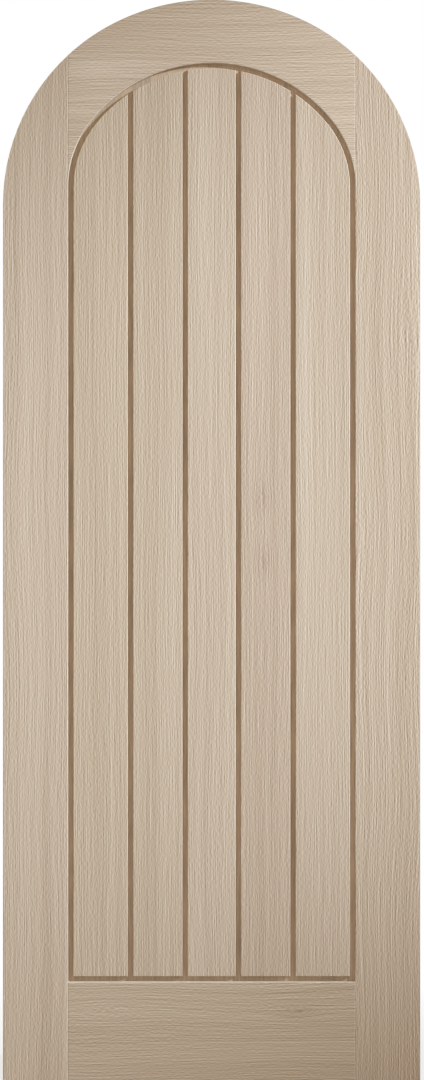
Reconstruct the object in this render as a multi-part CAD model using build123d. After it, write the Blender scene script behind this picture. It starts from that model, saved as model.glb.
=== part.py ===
from build123d import *

import os
from dataclasses import dataclass, replace
from math import cos, radians, sqrt, tan

# An arched door leaf: a dowelled frame of stiles and rails round a core sheet, which
# carries a row of upright boards on each face, flush with the frame.
# Millimetres. The leaf stands on z = 0 and is centred on x = 0 and y = 0. Its front
# face looks towards -y.

# Whole leaf
leaf_width = 762.0
leaf_height = 1981.0
leaf_thickness = 35.0
edge_arris = 1.2  # chamfer round the outer edge of both faces

# Head of the leaf, a three-centred arch that is almost a half circle
head_haunch_radius = 370.0
head_haunch_angle = 62.0  # degrees of arc from the springing to the crown arc

# Frame
stile_width = 118.5
bottom_rail_height = 187.0
arch_rail_depth = 115.6  # at the crown
sight_chamfer = 1.0  # round the frame's inner edge
rail_tip_thickness = 2.0  # the arched rail ends blunt beside the stile, not in a feather edge
joint_vee_width = 2.4  # fine line along each joint of stile and rail
joint_vee_depth = 0.25

# Frame opening, a flatter three-centred arch
opening_haunch_radius = 191.7
opening_haunch_angle = 38.7

# Core sheet, held in a plough round the frame's inner edge
core_thickness = 18.0
plough_depth = 12.0
core_edge_clearance = 0.5

# Boards on each face of the core
groove_width = 10.0  # round the boards and between them
groove_side_lean = 0.9  # how far each side of a groove leans in from the face to the core
middle_board_width = 87.3
inner_board_width = 89.8  # the outermost boards take what is left
board_arris = 0.8

# Dowels that join the rails to the stiles
dowel_diameter = 12.0
dowel_length = 60.0
dowel_chamfer = 1.2
dowel_flute_width = 1.2  # side of the square cutter, set on its corner
dowel_flute_count = 6
dowel_clearance = 0.1
bore_end_clearance = 2.0
dowel_cover = 6.0  # least wood left round a bore
bottom_dowel_count = 3

overrun = 5.0  # how far a cutting shape passes the face that it opens


@dataclass(frozen=True)
class ArchedOutline:
    """Upright outline in the XZ plane: a straight foot and sides under a three-centred arch."""

    half_width: float
    foot: float
    crown: float
    haunch_radius: float
    haunch_angle: float

    @property
    def haunch_centre(self):
        """Distance of each haunch arc's centre from the middle of the outline."""
        return self.half_width - self.haunch_radius

    @property
    def crown_drop(self):
        """Distance of the crown arc's centre below the springing."""
        return self.haunch_centre * tan(radians(self.haunch_angle))

    @property
    def crown_radius(self):
        return self.haunch_radius + self.haunch_centre / cos(radians(self.haunch_angle))

    @property
    def springing(self):
        return self.crown - self.crown_radius + self.crown_drop

    def grown(self, margin):
        """The parallel outline, outside this one by the margin or inside it if negative."""
        return replace(
            self,
            half_width=self.half_width + margin,
            foot=self.foot - margin,
            crown=self.crown + margin,
            haunch_radius=self.haunch_radius + margin,
        )

    def height_at(self, x):
        """Height of the arch above a point at distance x from the middle."""
        if abs(x) <= self.crown_radius * cos(radians(self.haunch_angle)):
            return self.springing - self.crown_drop + sqrt(self.crown_radius**2 - x**2)
        return self.springing + sqrt(self.haunch_radius**2 - (abs(x) - self.haunch_centre) ** 2)

    def face(self):
        sweep = self.haunch_angle
        springing = self.springing
        right_haunch = CenterArc((self.haunch_centre, springing), self.haunch_radius, 0, sweep)
        crown = CenterArc((0, springing - self.crown_drop), self.crown_radius, sweep, 180 - 2 * sweep)
        left_haunch = CenterArc((-self.haunch_centre, springing), self.haunch_radius, 180 - sweep, sweep)
        sides = Polyline(
            (-self.half_width, springing),
            (-self.half_width, self.foot),
            (self.half_width, self.foot),
            (self.half_width, springing),
        )
        return Plane.XZ * make_face([right_haunch, crown, left_haunch, sides])

    def slab(self, thickness):
        """The outline as a flat sheet, centred on y = 0."""
        return extrude(self.face(), amount=thickness / 2, both=True)


leaf = ArchedOutline(leaf_width / 2, 0, leaf_height, head_haunch_radius, head_haunch_angle)
opening = ArchedOutline(
    leaf_width / 2 - stile_width,
    bottom_rail_height,
    leaf_height - arch_rail_depth,
    opening_haunch_radius,
    opening_haunch_angle,
)
plough = opening.grown(plough_depth)
board_field = opening.grown(-groove_width)

board_thickness = (leaf_thickness - core_thickness) / 2
bore_radius = dowel_diameter / 2 + dowel_clearance
bore_depth = dowel_length / 2 + bore_end_clearance  # into each of the two pieces

# The rail's blunt tip is where the arch has come in from the stile by the tip's thickness.
rail_tip_height = opening.height_at(opening.half_width - rail_tip_thickness)


def lean_at(depth):
    """How far a groove's side has leaned in at a depth below the face."""
    return groove_side_lean * depth / board_thickness


def flared(lower, lower_y, upper, upper_y):
    """A block between two parallel outlines that lie at two depths of the leaf."""
    return loft([Pos(0, lower_y, 0) * lower.face(), Pos(0, upper_y, 0) * upper.face()], ruled=True)


def upright_bar(x_from, x_to, z_from, z_to):
    """A bar through the whole thickness of the leaf, for parting pieces along upright lines."""
    size = (x_to - x_from, leaf_thickness + 2 * overrun, z_to - z_from)
    return Pos((x_from + x_to) / 2, 0, (z_from + z_to) / 2) * Box(*size)


def arch_dowel_heights():
    """The lower dowel keeps its cover from the plough, the upper one from the leaf's head."""
    inner_end = opening.half_width - bore_depth
    outer_end = opening.half_width + bore_depth
    lower = plough.grown(dowel_cover).height_at(inner_end) + bore_radius
    upper = leaf.grown(-dowel_cover).height_at(outer_end) - bore_radius
    return lower, upper


def bottom_dowel_heights():
    """Evenly spaced between the foot of the rail and its plough."""
    step = (bottom_rail_height - plough_depth) / bottom_dowel_count
    return [step * (i + 0.5) for i in range(bottom_dowel_count)]


def dowels(heights):
    """Fluted dowels across both stile joints at the given heights."""
    radius = dowel_diameter / 2
    pin = Cylinder(radius, dowel_length)
    pin = chamfer(pin.edges().filter_by(GeomType.CIRCLE), dowel_chamfer)
    flute = Rot(0, 0, 45) * Box(dowel_flute_width, dowel_flute_width, dowel_length + 2 * overrun)
    for i in range(dowel_flute_count):
        pin -= Rot(0, 0, 360 * i / dowel_flute_count) * Pos(radius, 0, 0) * flute
    lying = Rot(0, 90, 0) * pin
    return [Pos(side * opening.half_width, 0, z) * lying for z in heights for side in (-1, 1)]


def joint_bores():
    bore = Rot(0, 90, 0) * Cylinder(bore_radius, 2 * bore_depth)
    heights = [*arch_dowel_heights(), *bottom_dowel_heights()]
    return [Pos(side * opening.half_width, 0, z) * bore for z in heights for side in (-1, 1)]


def joint_lines():
    """Shallow V cuts down both faces along the four joints of stile and rail."""
    vee = make_face(
        Polyline(
            (-joint_vee_width / 2, 0),
            (joint_vee_width / 2, 0),
            (0, joint_vee_depth),
            close=True,
        )
    )
    spans = [(-overrun, bottom_rail_height), (rail_tip_height, leaf_height)]
    lines = []
    for z_from, z_to in spans:
        front = Pos(0, -leaf_thickness / 2, z_from) * extrude(vee, z_to - z_from)
        for side in (-1, 1):
            line = Pos(side * opening.half_width, 0, 0) * front
            lines += [line, mirror(line, Plane.XZ)]
    return lines


def frame_pieces():
    """The whole frame, worked along its edges and then parted at the joints."""
    frame = leaf.slab(leaf_thickness)
    faces = frame.faces().sort_by(Axis.Y)
    rim = [edge for face in (faces[0], faces[-1]) for edge in face.edges() if edge.center().Z > 0]
    frame = chamfer(rim, edge_arris)

    floor_outline = opening.grown(-groove_side_lean)
    sight_outline = opening.grown(-lean_at(sight_chamfer))
    past_face = sight_outline.grown(sight_chamfer + overrun)
    for facing in (-1, 1):
        floor_y = facing * core_thickness / 2
        sight_y = facing * (leaf_thickness / 2 - sight_chamfer)
        past_y = facing * (leaf_thickness / 2 + overrun)
        frame -= flared(floor_outline, floor_y, sight_outline, sight_y)
        frame -= flared(sight_outline, sight_y, past_face, past_y)

    frame -= plough.slab(core_thickness)
    frame -= joint_lines()
    frame -= joint_bores()

    joint = opening.half_width
    top_zone = upright_bar(-joint, joint, rail_tip_height, leaf_height + overrun)
    foot_zone = upright_bar(-joint, joint, -overrun, bottom_rail_height + groove_side_lean)
    stiles = (frame - top_zone - foot_zone).solids().sort_by(Axis.X)
    return {
        "left_stile": stiles[0],
        "right_stile": stiles[-1],
        "arch_rail": frame & top_zone,
        "bottom_rail": frame & foot_zone,
    }


def board_strips():
    """The upright strips that the boards fill, from left to right, between their grooves."""
    middle = middle_board_width / 2
    inner_from = middle + groove_width
    inner_to = inner_from + inner_board_width
    outer_from = inner_to + groove_width
    outer_to = board_field.half_width
    right = [(inner_from, inner_to), (outer_from, outer_to)]
    left = [(-b, -a) for a, b in reversed(right)]
    return [*left, (-middle, middle), *right]


def board(strip, facing):
    """One board: its strip of the arched field, with leaning sides and an arris round its face."""
    x_from, x_to = strip
    arris_lean = lean_at(board_arris)
    core_y = facing * core_thickness / 2
    arris_y = facing * (leaf_thickness / 2 - board_arris)
    face_y = facing * leaf_thickness / 2
    section = make_face(
        Polyline(
            (x_from - groove_side_lean, core_y),
            (x_to + groove_side_lean, core_y),
            (x_to + arris_lean, arris_y),
            (x_to + arris_lean - board_arris, face_y),
            (x_from - arris_lean + board_arris, face_y),
            (x_from - arris_lean, arris_y),
            close=True,
        )
    )
    foot = board_field.foot - overrun
    bar = Pos(0, 0, foot) * extrude(section, board_field.crown + overrun - foot, dir=(0, 0, 1))
    floor_outline = board_field.grown(groove_side_lean)
    arris_outline = board_field.grown(arris_lean)
    face_outline = arris_outline.grown(-board_arris)
    field = flared(floor_outline, core_y, arris_outline, arris_y)
    field += flared(arris_outline, arris_y, face_outline, face_y)
    return field & bar


def pieces():
    nodes = frame_pieces()
    nodes["panel_core"] = opening.grown(plough_depth - core_edge_clearance).slab(core_thickness)
    for name, facing in (("front_board", -1), ("back_board", 1)):
        for number, strip in enumerate(board_strips(), start=1):
            nodes[f"{name}_{number}"] = board(strip, facing)
    nodes["arch_rail_dowels"] = Compound(children=dowels(arch_dowel_heights()))
    nodes["bottom_rail_dowels"] = Compound(children=dowels(bottom_dowel_heights()))
    return nodes


os.makedirs("parts", exist_ok=True)
for node, shape in pieces().items():
    export_step(shape, f"parts/{node}.step")
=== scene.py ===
import math
from collections import namedtuple

import bpy
from mathutils import Matrix, Vector


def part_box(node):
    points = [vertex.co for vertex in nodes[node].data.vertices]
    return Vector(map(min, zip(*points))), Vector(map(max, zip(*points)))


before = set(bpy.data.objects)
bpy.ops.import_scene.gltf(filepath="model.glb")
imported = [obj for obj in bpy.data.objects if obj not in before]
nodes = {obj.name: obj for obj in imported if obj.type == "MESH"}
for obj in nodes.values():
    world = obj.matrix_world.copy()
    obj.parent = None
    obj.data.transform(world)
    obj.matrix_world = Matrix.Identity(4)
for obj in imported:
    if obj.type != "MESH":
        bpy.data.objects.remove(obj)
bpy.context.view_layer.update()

# Arched door leaf in pale washed oak. Metres, in the frame of the CAD model: the leaf stands on
# z = 0, centred on x = 0 and y = 0, and its front face looks towards -y. Grain is given in mm.
FACE_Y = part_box("left_stile")[0].y
LEAF_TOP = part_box("arch_rail")[1].z
MM_IN_METRE = 1000

# All the wood
RING_SLANT = 0.8  # the growth rings lean through the thickness, so the edges show them too
WOOD_GLOSS = 0.3
SEED_STEP = 17.37  # each oak piece starts this much further on in the noise
SEED_ALONG = 3  # times as far on along the fibre as across it
NOISE_ROUGHNESS = 0.5

# Layers of grain: width across the fibre and length along it in mm, strength, and which draw of
# the noise it takes after the piece's own seed.
Grain = namedtuple("Grain", "width length strength draw")
SWAY = Grain(110, 380, None, 0)  # its strength is each piece's own
WIDE_BANDS = Grain(50, 1800, 0.15, 5)
BROAD_BANDS = Grain(15, 1400, 0.20, 1)
LONG_LINES = Grain(None, 400, 0.27, 2)  # its width is each piece's own
# Real fibre is finer than the picture's pixels, so it is drawn about twice as coarse.
FIBRE = Grain(1.9, 60, 0.32, 3)
PORES = Grain(1.9, 8, 0.32, 4)
OAK_ROUGHNESS = (0.66, 0.52)  # in the dark pores and on the pale wash
OAK_RELIEF = 0.0002  # metres from pore to fibre
OAK_RELIEF_SHARE = 0.25

# Wear and painted light on the frame. The joints get painted light and shade, the bevel round the
# opening a painted highlight, and the outer edge real wear from handling. A face is told by its
# slope, which is how squarely it looks out of the leaf's front or back, and by its reach, in
# metres: above 0 it looks away from the leaf's middle.
JOINT_SLOPE, JOINT_SLOPE_SPAN = 0.979, 0.01
# How strongly highlight and shade are painted on the two sides of each joint's line
JOINT_PAINTED_LIGHT = 0.9
BEVEL_SLOPE, BEVEL_SLOPE_SPAN = 0.7, 0.15
HANDLED_FROM, HANDLED_FULLY = 0.05, 0.2
HANDLED_SHARE = 0.6
HANDLED_TONE = "#8C735B"
# Painted highlight on the bevel round the opening: full from this reach inwards, in this pale tone
HIGHLIGHT_FULLY = -0.05
PAINTED_HIGHLIGHT_TONE = "#FBF6EE"

# Each piece's oak: dark, middle and pale tone, sway of the fibre and spacing of its long lines in
# mm, contrast of the grain, its eyes, and for a piece of the frame how strong a highlight is
# painted on the bevel round the opening. An eye has its place and its half width and length in
# mm, how far the fibre swells round it, and how dark it is. A pale patch is an eye with no swell
# and a shade below 0.
Oak = namedtuple("Oak", "tones sway spacing contrast eyes rubbing")
Eye = namedtuple("Eye", "across along half_width half_length swell shade")
OAK = {
    "left_stile": Oak(("#9A836B", "#CFC0AD", "#F1E8DC"), 8, 2, 1.0, (), 0.0),
    "right_stile": Oak(("#967F66", "#C8B8A4", "#EDE3D6"), 13, 2.4, 1.25, (), 0.0),
    "arch_rail": Oak(("#988168", "#CCBCA8", "#EFE6D9"), 9, 2, 0.86, (
        Eye(1850, 215, 110, 240, 0.0, -0.19),
    ), 0.5),
    "bottom_rail": Oak(("#967E65", "#C7B7A2", "#ECE2D4"), 10, 2.2, 0.86, (
        Eye(133, 190, 40, 110, 0.6, 0.0),
        Eye(134, -158, 34, 80, 0.6, 0.10),
    ), 1.0),
    "board_1": Oak(("#99836A", "#CCBDA8", "#EFE6D9"), 4, 2, 1.0, (), None),
    "board_2": Oak(("#98826A", "#CBBCA8", "#EFE6D9"), 4, 2, 1.0, (), None),
    "board_3": Oak(("#9A846D", "#CDBEAB", "#F0E7DB"), 6, 2, 1.0, (), None),
    "board_4": Oak(("#957E66", "#C8B7A4", "#EDE2D6"), 4, 2, 1.0, (
        Eye(92, 1071, 30, 60, 0.55, 0.10),
        Eye(96, 954, 30, 60, 0.55, 0.10),
    ), None),
    "board_5": Oak(("#99836B", "#CCBDAA", "#F0E6DA"), 4, 2, 1.0, (), None),
}

# Plain wood, for the core sheet and the dowels: its fibre, and bands that are wider and longer
PLAIN_FIBRE_STRENGTH, PLAIN_BAND_STRENGTH = 1.2, 0.8
PLAIN_BAND_WIDTHS, PLAIN_BAND_LENGTHS = 8, 6  # of the fibre
PLAIN_ROUGHNESS = (0.75, 0.6)
CORE_TONES = ("#B7A48F", "#DFC9AF")
CORE_FIBRE = Grain(4.0, 60, PLAIN_FIBRE_STRENGTH, 0)
CORE_SEED = 301.7
DOWEL_TONES = ("#B98F68", "#E3C29E")
DOWEL_FIBRE = Grain(2.0, 30, PLAIN_FIBRE_STRENGTH, 0)
DOWEL_SEED = 401.3


def linear(colour):
    """An sRGB hex colour as linear RGBA."""
    parts = [int(colour[i:i + 2], 16) / 255 for i in (1, 3, 5)]
    return (*[p / 12.92 if p <= 0.04045 else ((p + 0.055) / 1.055) ** 2.4 for p in parts], 1.0)


WHITE = linear("#FFFFFF")


def node(tree, kind, inputs=None, **settings):
    """Add a node with its settings. An input that is given a socket is linked to it."""
    made = tree.nodes.new("ShaderNode" + kind)
    for name, value in settings.items():
        setattr(made, name, value)
    for socket, value in (inputs or {}).items():
        if isinstance(value, bpy.types.NodeSocket):
            tree.links.new(value, made.inputs[socket])
        else:
            made.inputs[socket].default_value = value
    return made


def new_material(name):
    material = bpy.data.materials.new(name)
    material.use_nodes = True
    return material, material.node_tree, material.node_tree.nodes["Principled BSDF"]


def layer(tree, fibre, grain, seed, detail=1.0, aside=0.0):
    """Noise drawn out along the fibre, with its period across the fibre and along it."""
    start = seed + grain.draw
    stretched = node(tree, "Mapping", {
        "Vector": fibre,
        "Scale": (1 / grain.width, 1 / grain.length, 1),
        "Location": (start + aside / grain.width, SEED_ALONG * start, 0),
    }).outputs[0]
    return node(tree, "TexNoise", {
        "Vector": stretched, "Scale": 1.0, "Detail": detail, "Roughness": NOISE_ROUGHNESS,
    }, noise_dimensions="2D").outputs[0]


def streaks(tree, fibre, grain, seed, contrast):
    """Terms for fine streaks: noise less the same noise a streak's width aside, so that dark
    lies beside pale."""
    return [(layer(tree, fibre, grain, seed, 0.0, aside), sign * grain.strength * contrast)
            for aside, sign in ((0.0, 1), (grain.width, -1))]


def weighted(tree, terms):
    """Sum of weight * (value - 0.5), about 0.5."""
    total = 0.5 - sum(weight for _, weight in terms) / 2
    for value, weight in terms:
        total = node(tree, "Math", {0: value, 1: weight, 2: total},
                     operation="MULTIPLY_ADD").outputs[0]
    return total


def oak_tone(tree, turned, oak, seed):
    """Tone of the oak, from 0 in the dark pores to 1: bands, lines, fibre and pores added up on
    fibre that sways slowly and swells round each eye."""
    parts = node(tree, "SeparateXYZ", {0: turned}).outputs
    across = node(tree, "Math", {0: parts[1], 1: RING_SLANT, 2: parts[0]},
                  operation="MULTIPLY_ADD").outputs[0]
    along = parts[2]
    straight = node(tree, "CombineXYZ", {0: across, 1: along}).outputs[0]

    swaying = layer(tree, straight, SWAY, seed, 0.0)
    shift = node(tree, "Math", {0: swaying, 1: 2 * oak.sway, 2: -oak.sway},
                 operation="MULTIPLY_ADD").outputs[0]
    darkened = []
    for eye in oak.eyes:
        centred = node(tree, "Mapping", {
            "Vector": turned,
            "Scale": (1 / eye.half_width, 0, 1 / eye.half_length),
            "Location": (-eye.across / eye.half_width, 0, -eye.along / eye.half_length),
        }).outputs[0]
        near = node(tree, "TexGradient", {0: centred}, gradient_type="QUADRATIC_SPHERE").outputs[1]
        side = node(tree, "Math", {0: parts[0], 1: eye.across}, operation="SUBTRACT").outputs[0]
        push = node(tree, "Math", {0: side, 1: -eye.swell}, operation="MULTIPLY").outputs[0]
        shift = node(tree, "Math", {0: push, 1: near, 2: shift},
                     operation="MULTIPLY_ADD").outputs[0]
        darkened.append((near, eye.shade))
    swayed = node(tree, "Math", {0: across, 1: shift}, operation="ADD").outputs[0]
    fibre = node(tree, "CombineXYZ", {0: swayed, 1: along}).outputs[0]

    terms = [(layer(tree, fibre, grain, seed), grain.strength * oak.contrast)
             for grain in (WIDE_BANDS, BROAD_BANDS)]
    for grain in (LONG_LINES._replace(width=oak.spacing), FIBRE, PORES):
        terms += streaks(tree, fibre, grain, seed, oak.contrast)
    tone = weighted(tree, terms)
    for near, shade in darkened:
        tone = node(tree, "Math", {0: near, 1: -shade, 2: tone},
                    operation="MULTIPLY_ADD").outputs[0]
    return tone


def joints_with_painted_light(tree, tone, face, slope):
    """The tone with painted light and shade on the shallow line along each joint: a painted
    highlight on the side that looks towards the key light, and painted shade on the side that
    looks away from it."""
    joint = node(tree, "Math", {0: slope, 1: JOINT_SLOPE, 2: JOINT_SLOPE_SPAN},
                 operation="COMPARE").outputs[0]
    # Above 0 on the side that looks away from the key light, which gets painted shade; below 0 on
    # the lit side, which gets a painted highlight
    shade_side = node(tree, "Math", {0: face[0], 1: face[1]}, operation="MULTIPLY").outputs[0]
    painted_joint_light = node(tree, "Math", {0: joint, 1: shade_side}, operation="MULTIPLY").outputs[0]
    return node(tree, "Math", {0: painted_joint_light, 1: -JOINT_PAINTED_LIGHT, 2: tone},
                operation="MULTIPLY_ADD").outputs[0]


def handled_and_highlighted_edges(tree, colour, place, facing, slope, rubbing):
    """The colour with the frame's outer edge handled and a little browner, and a painted highlight
    on the bevel round its opening."""
    outward = node(tree, "Mapping", {
        "Vector": place, "Location": (0, 0, -LEAF_TOP / 2), "Scale": (1, 0, 1),
    }).outputs[0]
    reach = node(tree, "VectorMath", {0: facing, 1: outward},
                 operation="DOT_PRODUCT").outputs["Value"]
    handled = node(tree, "MapRange", {
        0: reach, 1: HANDLED_FROM, 2: HANDLED_FULLY, 3: 0.0, 4: HANDLED_SHARE}).outputs[0]
    # The bevel round the opening gets a painted highlight, as strong as each piece's share
    bevel = node(tree, "Math", {0: slope, 1: BEVEL_SLOPE, 2: BEVEL_SLOPE_SPAN},
                 operation="COMPARE").outputs[0]
    inner = node(tree, "MapRange", {
        0: reach, 1: HIGHLIGHT_FULLY, 2: 0.0, 3: rubbing, 4: 0.0}).outputs[0]
    painted_highlight = node(tree, "Math", {0: bevel, 1: inner}, operation="MULTIPLY").outputs[0]
    for share, tone in ((handled, HANDLED_TONE), (painted_highlight, PAINTED_HIGHLIGHT_TONE)):
        colour = node(tree, "MixRGB", {0: share, 1: colour, 2: linear(tone)}).outputs[0]
    return colour


def finish_wood(tree, shader, tone, hues, roughness):
    """Colour the wood along its hues from dark to pale, and make it smoother as it gets paler.
    Gives back the colour."""
    ramp = node(tree, "ValToRGB", {0: tone})
    stops = ramp.color_ramp.elements
    for i in range(1, len(hues) - 1):
        stops.new(i / (len(hues) - 1))
    for stop, hue in zip(stops, hues):
        stop.color = linear(hue)
    dark, pale = roughness
    rough = node(tree, "MapRange", {0: tone, 1: 0.0, 2: 1.0, 3: dark, 4: pale}).outputs[0]
    tree.links.new(ramp.outputs[0], shader.inputs["Base Color"])
    tree.links.new(rough, shader.inputs["Roughness"])
    shader.inputs["Specular IOR Level"].default_value = WOOD_GLOSS
    return ramp.outputs[0]


def washed_oak(name, oak, seed, level):
    """Oak planed smooth and wiped with a thin pale wash, for the frame and the boards. What one
    sees is pale straight fibre with short dark pores, soft broad bands and a half-matt face."""
    material, tree, shader = new_material(name)
    place = node(tree, "TexCoord").outputs["Object"]
    turned = node(tree, "Mapping", {
        "Vector": place,
        "Scale": (MM_IN_METRE, MM_IN_METRE, MM_IN_METRE),
        "Rotation": (0, math.pi / 2 if level else 0, 0),
    }).outputs[0]
    tone = oak_tone(tree, turned, oak, seed)
    in_frame = oak.rubbing is not None
    if in_frame:
        facing = node(tree, "NewGeometry").outputs["True Normal"]
        face = node(tree, "SeparateXYZ", {0: facing}).outputs
        slope = node(tree, "Math", {0: face[1]}, operation="ABSOLUTE").outputs[0]
        # Painted highlight and painted shade on the two sides of each joint's line
        tone = joints_with_painted_light(tree, tone, face, slope)
    colour = finish_wood(tree, shader, tone, oak.tones, OAK_ROUGHNESS)
    if in_frame:
        # The outer edge browner from handling, and a painted highlight on the bevel round the
        # opening
        worn_and_highlighted = handled_and_highlighted_edges(tree, colour, place, facing, slope, oak.rubbing)
        tree.links.new(worn_and_highlighted, shader.inputs["Base Color"])
    relief = node(tree, "Bump", {
        "Strength": OAK_RELIEF_SHARE, "Distance": OAK_RELIEF, "Height": tone}).outputs[0]
    tree.links.new(relief, shader.inputs["Normal"])
    return material


def plain_wood(name, hues, grain, seed):
    """Sawn and sanded wood with no figure: fine straight fibre over broader bands, and matt."""
    material, tree, shader = new_material(name)
    place = node(tree, "TexCoord").outputs["Object"]
    parts = node(tree, "SeparateXYZ", {0: place}).outputs
    across = node(tree, "Math", {0: parts[1], 1: RING_SLANT, 2: parts[0]},
                  operation="MULTIPLY_ADD").outputs[0]
    flat = node(tree, "CombineXYZ", {0: across, 1: parts[2]}).outputs[0]
    fibre = node(tree, "VectorMath", {0: flat, 3: MM_IN_METRE}, operation="SCALE").outputs[0]
    bands = Grain(PLAIN_BAND_WIDTHS * grain.width, PLAIN_BAND_LENGTHS * grain.length,
                  PLAIN_BAND_STRENGTH, grain.draw + 1)
    tone = weighted(tree, [(layer(tree, fibre, each, seed), each.strength)
                           for each in (grain, bands)])
    finish_wood(tree, shader, tone, hues, PLAIN_ROUGHNESS)
    return material


def rays_that_show(tree):
    """1 for the rays that show what they meet: to the camera, in a gloss or through glass."""
    path = node(tree, "LightPath")
    shows = path.outputs["Is Camera Ray"]
    for ray in ("Is Glossy Ray", "Is Transmission Ray"):
        shows = node(tree, "Math", {0: shows, 1: path.outputs[ray]},
                     operation="MAXIMUM").outputs[0]
    return shows


# Every piece of oak has a material of its own. The core sheet is the same oak, and its face is
# seen only at the bottom of the grooves, brown in their shade. The dowels are beech, pinkish and
# close-grained, and are out of sight in the joints.
for order, node_name in enumerate(sorted(nodes), start=1):
    kind = node_name.replace("front_", "").replace("back_", "")
    if kind in OAK:
        material = washed_oak("washed oak, " + node_name.replace("_", " "), OAK[kind],
                              SEED_STEP * order, kind.endswith("rail"))
    elif kind == "panel_core":
        material = plain_wood("washed oak, core sheet", CORE_TONES, CORE_FIBRE, CORE_SEED)
    else:
        material = plain_wood("plain beech, dowels", DOWEL_TONES, DOWEL_FIBRE, DOWEL_SEED)
    nodes[node_name].material_slots[0].material = material

# Plain pale floor, matt as card. It keeps the leaf's shadow near the leaf and is white further
# off.
FLOOR_SIZE = 60
FLOOR_DROP = 0.0002  # under the leaf's foot
FLOOR_TONE = "#C6C4C1"
FLOOR_ROUGHNESS = 0.9
WHITE_FROM, WHITE_FULLY = 0.3, 1.8  # metres from the leaf's middle
WHITE_NEAR = 0.7
bpy.ops.mesh.primitive_plane_add(size=FLOOR_SIZE, location=(0, 0, -FLOOR_DROP))
floor = bpy.context.object
floor.name = "floor"
material, tree, shader = new_material("pale matt floor")
place = node(tree, "TexCoord").outputs["Object"]
away = node(tree, "VectorMath", {0: place}, operation="LENGTH").outputs["Value"]
white = node(tree, "MapRange", {
    0: away, 1: WHITE_FROM, 2: WHITE_FULLY, 3: WHITE_NEAR, 4: 1.0}).outputs[0]
seen = node(tree, "Math", {0: white, 1: rays_that_show(tree)}, operation="MULTIPLY").outputs[0]
shader.inputs["Base Color"].default_value = linear(FLOOR_TONE)
shader.inputs["Roughness"].default_value = FLOOR_ROUGHNESS
glow = node(tree, "Emission", {0: WHITE, 1: 1.0}).outputs[0]
both = node(tree, "MixShader", {0: seen, 1: shader.outputs[0], 2: glow}).outputs[0]
tree.links.new(both, tree.nodes["Material Output"].inputs[0])
floor.data.materials.append(material)

# Soft even light from all round, and white behind the leaf
SOFT_TONE = "#FFEAD2"
SOFT_STRENGTH = 0.556
world = bpy.data.worlds.new("studio")
bpy.context.scene.world = world
world.use_nodes = True
tree = world.node_tree
tree.nodes.clear()
soft = node(tree, "Background", {0: linear(SOFT_TONE), 1: SOFT_STRENGTH}).outputs[0]
backdrop = node(tree, "Background", {0: WHITE, 1: 1.0}).outputs[0]
shown = node(tree, "MixShader", {0: rays_that_show(tree), 1: soft, 2: backdrop}).outputs[0]
tree.links.new(shown, node(tree, "OutputWorld").inputs[0])

# A spot low over each face, from the upper right as one looks at that face. Its azimuth is
# measured in the plane of the face, up from level, and its elevation out of that plane. Its cone
# is flattened so that the pool of light on the face is a slanting oval.
KEY_POWER = 7200.0
KEY_TONE = "#E8F4FF"
KEY_RADIUS = 0.233
KEY_DISTANCE = 10.2
POOL_HALF_WIDTH = 1.206
CONE_FLATNESS = 0.912
AZIMUTH, ELEVATION = math.radians(30.0), math.radians(25.75)
AIM = Vector((0.574, FACE_Y, 1.349))
towards = Vector((math.cos(ELEVATION) * math.cos(AZIMUTH), -math.sin(ELEVATION),
                  math.cos(ELEVATION) * math.sin(AZIMUTH)))
side = Vector((-math.sin(AZIMUTH), 0, math.cos(AZIMUTH)))
axes = Matrix((side, towards.cross(side), towards)).transposed()
for name, turn in (("front key", 0.0), ("back key", math.pi)):
    lamp = bpy.data.lights.new(name, "SPOT")
    lamp.energy = KEY_POWER
    lamp.color = linear(KEY_TONE)[:3]
    lamp.shadow_soft_size = KEY_RADIUS
    lamp.spot_size = 2 * math.atan(POOL_HALF_WIDTH / KEY_DISTANCE)
    lamp.spot_blend = 1.0
    key = bpy.data.objects.new(name, lamp)
    about = Matrix.Rotation(turn, 3, "Z")
    key.location = about @ (AIM + KEY_DISTANCE * towards)
    key.rotation_euler = (about @ axes).to_euler()
    key.scale = (1, CONE_FLATNESS, 1)
    bpy.context.collection.objects.link(key)

# The camera stands straight in front. The picture's upper edge touches the leaf's head, and its
# lower edge just cuts off the leaf's foot.
VIEW_HEIGHT = 1.9725
CAMERA_DISTANCE = 8.0
SENSOR_WIDTH = 36.0
FRAMING = 0.0007  # metres that the camera is moved, to the right and down
camera_data = bpy.data.cameras.new("camera")
camera_data.sensor_width = SENSOR_WIDTH
camera_data.lens = SENSOR_WIDTH * CAMERA_DISTANCE / VIEW_HEIGHT
camera = bpy.data.objects.new("camera", camera_data)
camera.location = (FRAMING, FACE_Y - CAMERA_DISTANCE, LEAF_TOP - FRAMING - VIEW_HEIGHT / 2)
camera.rotation_euler = (math.pi / 2, 0, 0)
bpy.context.collection.objects.link(camera)
bpy.context.scene.camera = camera
bpy.context.scene.view_settings.view_transform = "Standard"
